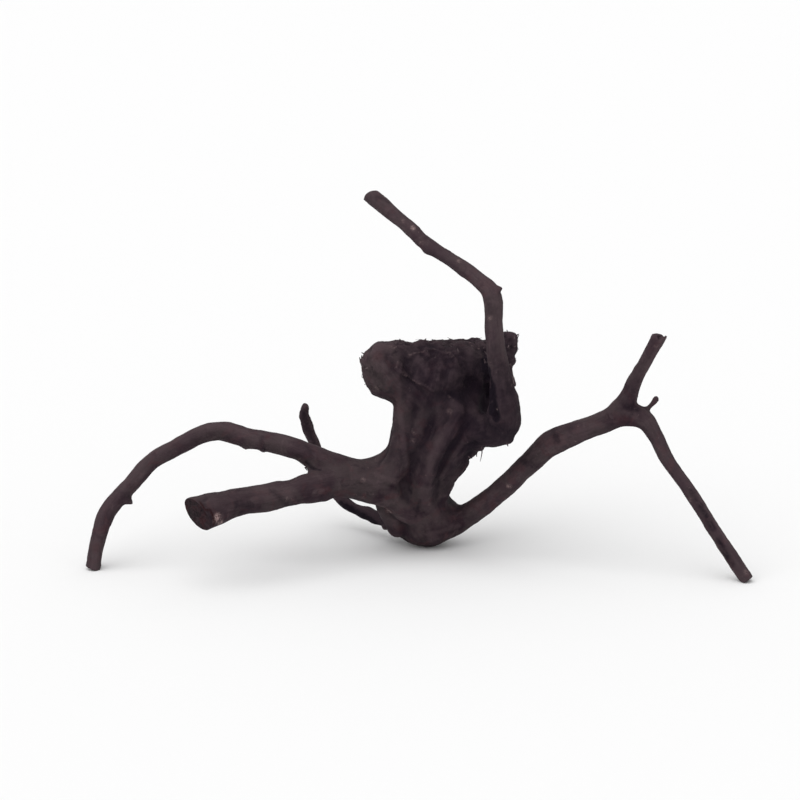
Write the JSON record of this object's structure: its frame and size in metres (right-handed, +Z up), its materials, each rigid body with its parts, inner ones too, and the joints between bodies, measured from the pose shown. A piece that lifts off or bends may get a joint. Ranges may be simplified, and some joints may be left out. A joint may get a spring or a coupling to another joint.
{
  "type": "spiderwood root",
  "caption": "Dried spiderwood root for a tank or terrarium: a thick gnarled stump with long thin roots that arch out sideways and upwards.",
  "frame": {"origin": "under the middle of the root's box, on the surface that it stands on", "axes": "+X along the widest spread of the roots, towards the forked one; +Z up; -Y is the front"},
  "size_m": [0.3946, 0.1328, 0.2229],
  "materials": {
    "wood": "matt, dry and fibrous, very dark purplish brown"
  },
  "bodies": {
    "root": {"spiderwood_root": "wood"}
  },
  "joints": []
}
